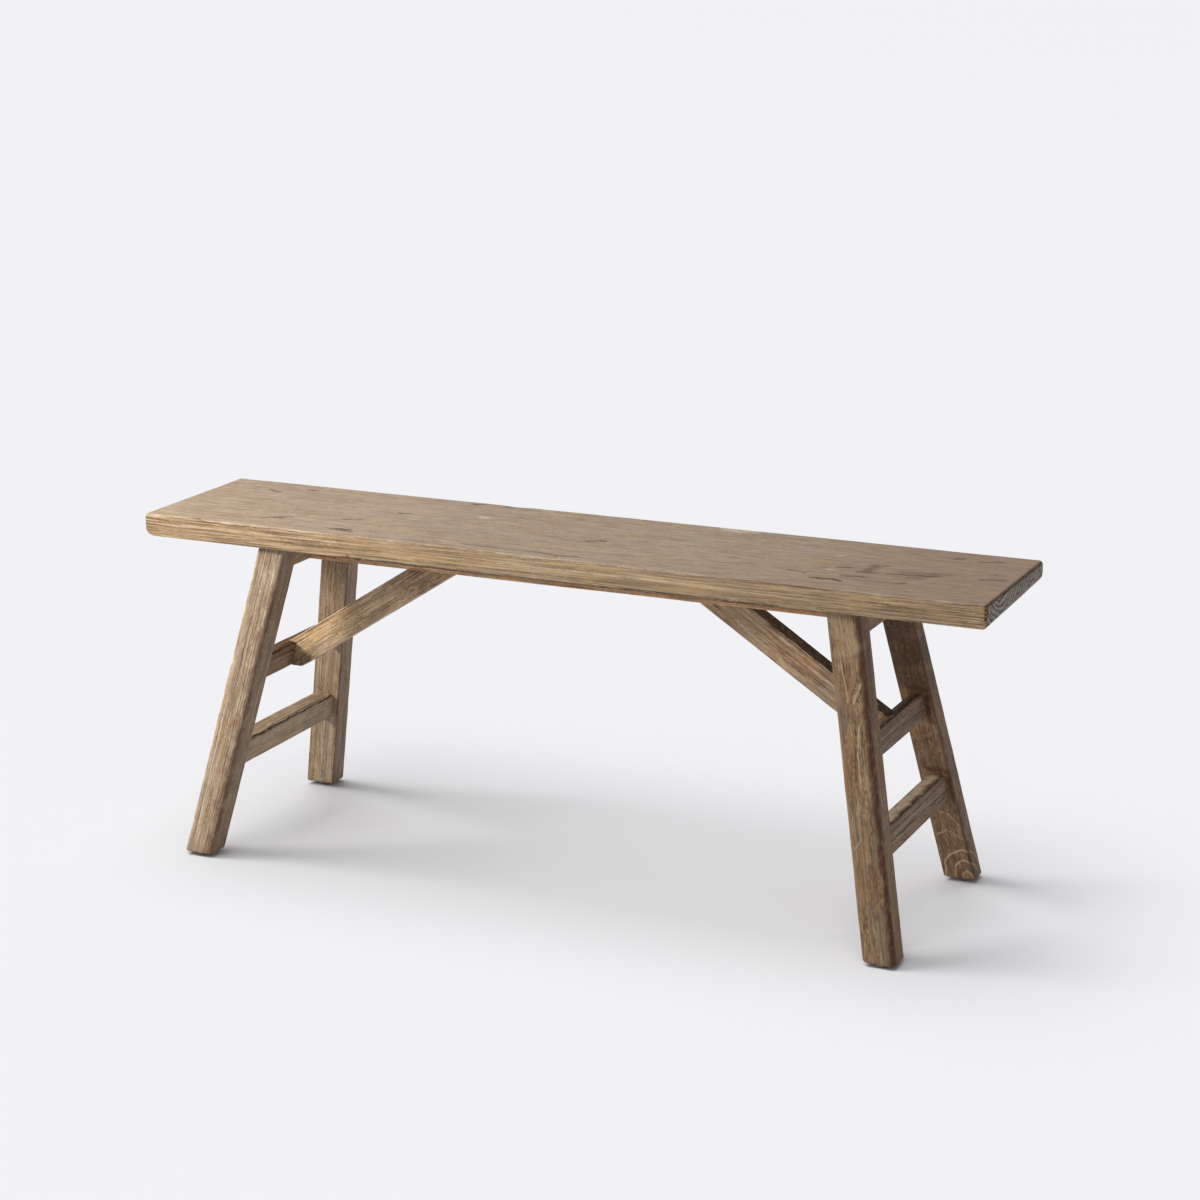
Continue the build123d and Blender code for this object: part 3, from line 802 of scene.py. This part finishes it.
def make_cross_rail(name, end, seed):
    middle = SEAT_UNDERSIDE - RAIL_HEIGHT / 2

    def place(u, p, q):
        return Vector((end * leg_centre_x(middle + q) + p, u, middle + q))

    def span(p, q):
        reach = inner_face_y(middle + q) + SEATING
        return -reach, reach

    stick = Stick(CROSS_RAIL_WIDTH, RAIL_HEIGHT, RAIL_RADII)
    look = toned((0.8, 0.76, 0.72), axis=(0, 1, 0), seed=seed)
    dress(bar(name, seed, stick, place, span), look, name)


def make_centre_rail(seed):
    middle = SEAT_UNDERSIDE - RAIL_HEIGHT / 2

    def place(u, p, q):
        return Vector((u, p, middle + q))

    def span(p, q):
        reach = leg_centre_x(middle + q) - CROSS_RAIL_WIDTH / 2 + SEATING
        return -reach, reach

    # Painted shadow under the seat's front edge: a dark line along the front face, a fifth of the way up
    front = -CENTRE_RAIL_WIDTH / 2 / MM
    marks = (((-420, front, -10.2), (420, front, -10.2), 1.1, 0.65),)
    stick = Stick(CENTRE_RAIL_WIDTH, RAIL_HEIGHT, RAIL_RADII, 5 * MM, (16, 24, 6), marks=marks)
    look = toned((1.5, 1.34, 1.16), axis=(1, 0, 0), seed=seed)
    dress(bar("centre_rail_piece", seed, stick, place, span), look, "centre_rail")


# Braces

BRACE_LOOKS = {
    "left": LOOK._replace(
        light=srgb(224, 200, 162), mid=srgb(190, 161, 123), dark=srgb(124, 96, 66), warm=srgb(200, 158, 106),
        seed=71, mottle=0, soft=0.2, crack=0.9, ring=230,
    ),
    # Its dark ink is nearly black, for the painted shade on its back as well as for its cracks and pores
    "right": toned((1.12, 1.14, 1.1), seed=73, mottle=0, soft=0.15, crack=1, shade=srgb(38, 28, 24)),
}


def make_brace(end_name, end):
    look = BRACE_LOOKS[end_name]
    centre = Vector((leg_centre_x(UPPER_LEVEL), 0, UPPER_LEVEL))
    outward = Vector((math.cos(LEAN), 0, math.sin(LEAN)))
    upward = Vector((-math.sin(LEAN), 0, math.cos(LEAN)))
    top_arris = centre - outward * UPPER_THICKNESS / 2 + upward * UPPER_HEIGHT / 2
    heel = centre - outward * UPPER_THICKNESS / 2 - upward * UPPER_HEIGHT / 2
    toe = top_arris + outward * BRACE_LAP
    along = Vector((-math.cos(BRACE_SLOPE), 0, math.sin(BRACE_SLOPE)))
    down = Vector((-math.sin(BRACE_SLOPE), 0, -math.cos(BRACE_SLOPE)))
    corners = [((point - toe).dot(down), (point - toe).dot(along)) for point in (toe, top_arris, heel)]

    def foot(depth):
        """Where the grain line at a depth below the brace's back meets the stretcher or the level tip."""
        for (d0, u0), (d1, u1) in zip(corners, corners[1:]):
            if depth <= d1:
                return u0 + (u1 - u0) * max(0, depth - d0) / (d1 - d0)
        return (heel.z - toe.z - down.z * depth) / along.z

    def place(u, p, q):
        point = toe + down * (BRACE_DEPTH / 2 - q) + along * u
        return Vector((end * point.x, p, point.z))

    def span(p, q):
        depth = BRACE_DEPTH / 2 - q
        head = (RAIL_UNDERSIDE - toe.z - down.z * depth) / along.z
        return foot(depth) - SEATING / 2, head + SEATING

    back, face = BRACE_DEPTH / 2 / MM, -BRACE_WIDTH / 2 / MM
    if end < 0:
        # Painted shade over the head, under the seat, and painted highlights along both arrises of the front
        # face
        marks = [((290, 0, 0), (240, 0, 0), 60, 0.3), ((290, 0, 0), (230, 0, 0), 60, 0.35, "red")]
        marks += [((0, face, q), (330, face, q), 0.9, 1, "pale") for q in (-back, back)]
        # The foot in the leg's shadow, and the dark line where it meets the stretcher
        seat = [(u / MM, face, back - depth / MM) for depth, u in corners[1:]]
        marks += [((-14, face, -14), (10, face, -20), 24, 0.75), (*seat, 1.5)]
    else:
        # Painted shade over the back face, nearly black
        marks = [((-10, y, back + 2), (300, y, back + 2), 5) for y in (-10, -3, 4, 11)]
    stick = Stick(BRACE_WIDTH, BRACE_DEPTH, (1.5 * MM,) * 4, 2 * MM, (16, 14, 5), marks=marks)
    brace = bar(f"{end_name}_brace", look.seed, stick, place, span)
    axis = (-end * along.x, 0, -along.z)
    bore_foot_screw(brace, end)
    dress(brace, look._replace(axis=axis), f"{end_name}_brace")


# Screws and glides: turned pieces, the screws with hexagon sockets

TURNED_SIDES, BORE_SIDES = 48, 32


def turned(centre, axis, profile, sides):
    """Points and faces of a turned piece. Its profile holds radius, place along the axis and hexagons."""
    axis = Vector(axis).normalized()
    across = axis.orthogonal().normalized()
    third = axis.cross(across)
    verts = []
    for radius, along, *hexagon in profile:
        for i in range(sides):
            t = 2 * math.pi * i / sides
            sector = t % (math.pi / 3) - math.pi / 6
            reach = radius * math.cos(math.pi / 6) / math.cos(sector) if hexagon else radius
            verts.append(Vector(centre) + axis * along + (across * math.cos(t) + third * math.sin(t)) * reach)
    faces = []
    for i in range(len(profile) - 1):
        faces += between(i * sides, (i + 1) * sides, sides)
    faces.append(tuple(reversed(range(sides))))
    faces.append(tuple(range((len(profile) - 1) * sides, len(profile) * sides)))
    return verts, faces


def joined(name, parts):
    """One mesh object of several turned pieces."""
    verts, faces = [], []
    for part_verts, part_faces in parts:
        base = len(verts)
        verts += part_verts
        faces += [tuple(base + i for i in face) for face in part_faces]
    return placed(name, verts, faces, TURNED_SHARP)


def fine_material(name, base, worn, scale, rough, metal=0.0):
    """Plastic or metal with a fine grain and lighter scuffs."""
    n = Nodes(name)
    place = n.new("ShaderNodeTexCoord").outputs["Object"]
    scuff = n.noise(place, (scale, scale), 4)
    n.put("Base Color", n.mix(n.step(scuff, 0.5, 0.7), base, worn))
    n.put("Roughness", n.step(scuff, 0.3, 0.7, rough, rough + 0.25))
    n.put("Metallic", metal)
    n.bump(n.noise(place, (scale * 6, scale * 6), 3), 0.3, 0.2 * MM)
    return n.material


def make_glides():
    material = fine_material("glide_plastic", srgb(112, 108, 104), srgb(140, 136, 130), 140, 0.42)
    radius, rim, arris, steps = GLIDE_RADIUS, 1.4 * MM, 0.4 * MM, 6
    profile = [(GLIDE_STEM_RADIUS, FOOT_LEVEL + GLIDE_STEM_LENGTH)]
    profile.append((GLIDE_STEM_RADIUS, FOOT_LEVEL))
    profile += [(radius - arris, FOOT_LEVEL), (radius, FOOT_LEVEL - arris)]
    for i in range(steps + 1):
        angle = math.pi / 2 * i / steps
        profile.append((radius - rim * (1 - math.cos(angle)), rim * (1 - math.sin(angle))))
    # A shallow hollow in the middle of the sole
    profile.append((radius / 2, 0))
    profile.append((radius / 2 - 0.5 * MM, 0.4 * MM))
    for corner, end, side in CORNERS:
        name = f"{corner}_glide"
        part = turned((end * FOOT_X, side * FOOT_Y, 0), (0, 0, 1), profile, TURNED_SIDES)
        finish_piece(joined(name, [part]), material, name)


def screw(head, outward, length):
    """A countersunk screw with a hexagon socket. Its head's face is at the head place."""
    arris = 0.3 * MM
    profile = [
        (SCREW_RADIUS * 0.8, -length),
        (SCREW_RADIUS, 2 * MM - length),
        (SCREW_RADIUS, -SCREW_HEAD_HEIGHT),
        (SCREW_HEAD_RADIUS, -arris),
        (SCREW_HEAD_RADIUS - arris, 0),
        (SOCKET_RADIUS + arris, 0, "hexagon"),
        (SOCKET_RADIUS, -arris / 2, "hexagon"),
        (SOCKET_RADIUS, -SOCKET_DEPTH, "hexagon"),
    ]
    return turned(head, outward, profile, TURNED_SIDES)


def foot_screw_head(end):
    """Head of the screw that runs square through a brace's foot, and the way that the head faces."""
    out = Vector((end * math.cos(LEAN), 0, math.sin(LEAN)))
    middle = Vector((end * leg_centre_x(UPPER_LEVEL), 0, UPPER_LEVEL)) - out * UPPER_THICKNESS / 2
    return middle - out * (SHORT_SCREW - FOOT_SCREW_BITE), -out


def bore_foot_screw(brace, end):
    """Cut the open bore that leads to the screw in a brace's foot."""
    head, outward = foot_screw_head(end)
    radius = SCREW_HEAD_RADIUS + 0.1 * MM
    profile = [(radius, -0.2 * MM), (radius, BRACE_DEPTH)]
    cutter = joined("bore_cutter", [turned(head, outward, profile, BORE_SIDES)])
    boolean = brace.modifiers.new("bore", "BOOLEAN")
    boolean.operation, boolean.object, boolean.solver = "DIFFERENCE", cutter, "EXACT"
    graph = bpy.context.evaluated_depsgraph_get()
    cut = brace.evaluated_get(graph)
    bored = bpy.data.meshes.new_from_object(cut, preserve_all_data_layers=True, depsgraph=graph)
    brace.modifiers.clear()
    brace.data = bored
    bpy.data.objects.remove(cutter)


def make_screws():
    material = fine_material("screw_steel", srgb(60, 58, 56), srgb(112, 108, 102), 220, 0.34, 1.0)
    # Heads stand this far out of the rails, and lie this far below the seat
    proud, sunk = 0.3 * MM, 0.5 * MM
    cross_x = leg_centre_x(SEAT_UNDERSIDE - RAIL_HEIGHT / 2)
    cross_y = HEAD_Y - LEG_DEPTH / 2 - CROSS_SCREW_INSET
    rail_places = [(end * cross_x, row * cross_y) for end in (-1, 1) for row in (-1, 1)]
    rail_places += [(end * BRACE_HEAD_X / 2, 0) for end in (-1, 1)]
    under = [((x, y, RAIL_UNDERSIDE - proud), (0, 0, -1)) for x, y in rail_places]
    over = [((end * BRACE_HEAD_X, 0, SEAT_UNDERSIDE - sunk), (0, 0, 1)) for end in (-1, 1)]
    inside = [foot_screw_head(end) for end in (-1, 1)]
    for name, heads, length in (
        ("seat_screw", under, LONG_SCREW),
        ("brace_head_screw", over, LONG_SCREW),
        ("brace_foot_screw", inside, SHORT_SCREW),
    ):
        parts = [screw(head, outward, length) for head, outward in heads]
        finish_piece(joined(f"{name}_set", parts), material, f"{name}s")


dress(make_seat(), SEAT_TOP_LOOK, "seat_plank", SEAT_FRONT_LOOK)
for corner in CORNERS:
    make_leg(*corner)
for end_name, end in ENDS.items():
    make_stretcher(f"{end_name}_upper", end, UPPER_LEVEL, UPPER_THICKNESS, UPPER_HEIGHT, 40 + end)
    make_stretcher(f"{end_name}_lower", end, LOWER_LEVEL, LOWER_THICKNESS, LOWER_HEIGHT, 50 + end)
    make_cross_rail(f"{end_name}_cross_rail", end, 60 + end)
    make_brace(end_name, end)
make_centre_rail(63)
make_glides()
make_screws()


# Floor, light and camera

# How much the floor glows for the camera, in place of the key lamp, which lights only the bench
FLOOR_GLOW = 0.03
FLOOR_COLOUR, WHITE = srgb(204, 203, 205), srgb(255, 255, 255)
# The room's colour, how bright its dark side and its bright side are, and the way to the bright one
ROOM_COLOUR, DARK_SIDE, BRIGHT_SIDE, TO_BRIGHT = (0.9, 0.94, 0.97, 1), 0.06, 0.6, (-0.75, -0.35, 0.56)
# What area lamps point at, the middle of the bench
LIT_POINT = Vector((0, 0, 0.35))


def make_floor():
    bpy.ops.mesh.primitive_plane_add(size=60)
    floor = bpy.context.object
    floor.name = "floor"
    n = Nodes("floor")
    n.put("Base Color", FLOOR_COLOUR)
    n.put("Roughness", 0.9)
    n.put("Specular IOR Level", 0.1)
    n.put("Emission Color", WHITE)
    path = n.new("ShaderNodeLightPath")
    seen = n.most([path.outputs[f"Is {kind} Ray"] for kind in ("Camera", "Glossy", "Transmission")])
    n.put("Emission Strength", n.times(seen, FLOOR_GLOW))
    floor.data.materials.append(n.material)
    floor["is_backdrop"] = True
    return floor


def group(name, objects):
    collection = bpy.data.collections.new(name)
    for item in objects:
        collection.objects.link(item)
    return collection


def aimed(item, place, way):
    """A lamp or camera at a place, facing the given way."""
    bpy.context.collection.objects.link(item)
    item.location = place
    item.rotation_mode = "QUATERNION"
    item.rotation_quaternion = way.to_track_quat("-Z", "Y")
    return item


def lamp(name, kind, azimuth, elevation, colour, distance=0):
    """A lamp whose light travels towards the azimuth, counted from +X towards +Y."""
    data = bpy.data.lights.new(name, kind)
    data.color = colour
    a, e = math.radians(azimuth), math.radians(elevation)
    travel = Vector((math.cos(a) * math.cos(e), math.sin(a) * math.cos(e), -math.sin(e)))
    return aimed(bpy.data.objects.new(name, data), LIT_POINT - travel * distance, travel)


def sun(name, azimuth, elevation, angle, strength):
    item = lamp(name, "SUN", azimuth, elevation, (1, 1, 1))
    item.data.energy, item.data.angle = strength * math.pi, math.radians(angle)
    return item


def softbox(name, azimuth, elevation, distance, size, strength, colour):
    item = lamp(name, "AREA", azimuth, elevation, colour, distance)
    item.data.shape, item.data.size = "DISK", size
    item.data.energy = strength * (math.pi * distance) ** 2
    return item


def make_world():
    """Soft light all round, brighter from the left, the front and above."""
    world = bpy.data.worlds.new("studio")
    bpy.context.scene.world = world
    world.use_nodes = True
    tree = world.node_tree
    background = tree.nodes["Background"]
    background.inputs["Color"].default_value = ROOM_COLOUR
    direction = tree.nodes.new("ShaderNodeTexCoord").outputs["Generated"]
    dot = tree.nodes.new("ShaderNodeVectorMath")
    dot.operation = "DOT_PRODUCT"
    tree.links.new(direction, dot.inputs[0])
    dot.inputs[1].default_value = Vector(TO_BRIGHT).normalized()
    level = tree.nodes.new("ShaderNodeMapRange")
    tree.links.new(dot.outputs["Value"], level.inputs["Value"])
    for key, value in (("From Min", -1), ("From Max", 1), ("To Min", DARK_SIDE), ("To Max", BRIGHT_SIDE)):
        level.inputs[key].default_value = value
    tree.links.new(level.outputs[0], background.inputs["Strength"])


def make_light(floor):
    make_world()
    bench = group("bench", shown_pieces())
    ground = group("ground", [floor])
    key = softbox("key", 31, 20, distance=1.65, size=0.28, strength=0.92, colour=(1, 0.95, 0.88))
    overhead = sun("overhead", 20, 72, angle=70, strength=0.38)
    for item in (key, overhead):
        item.light_linking.receiver_collection = bench
    # The floor has its own light: two wide lamps for the soft shadow under the bench, and one for the short
    # streaks beside the feet, which only the legs and glides cast
    streaks = sun("streaks", 12, 50, angle=24, strength=0.56)
    floor_front = sun("floor_front", -50, 74, angle=36, strength=0.31)
    floor_back = sun("floor_back", 78, 66, angle=38, strength=0.34)
    for item in (floor_front, floor_back, streaks):
        item.light_linking.receiver_collection = ground
    feet = [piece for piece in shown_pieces() if "_leg" in piece.name or "_glide" in piece.name]
    streaks.light_linking.blocker_collection = group("feet", feet)


def make_camera():
    """The photograph's camera: where it looks, from where, and its lens on a 36 mm sensor."""
    azimuth, elevation, distance = math.radians(24.357), math.radians(14.794), 3.72403
    target = Vector((0.03128, 0, 0.37883))
    level = math.cos(elevation)
    back = Vector((math.sin(azimuth) * level, -math.cos(azimuth) * level, math.sin(elevation)))
    data = bpy.data.cameras.new("camera")
    data.lens, data.sensor_width = 83.868, 36
    camera = bpy.data.objects.new("camera", data)
    bpy.context.scene.camera = aimed(camera, target + back * distance, -back)


make_light(make_floor())
make_camera()
bpy.context.scene.view_settings.view_transform = "Standard"
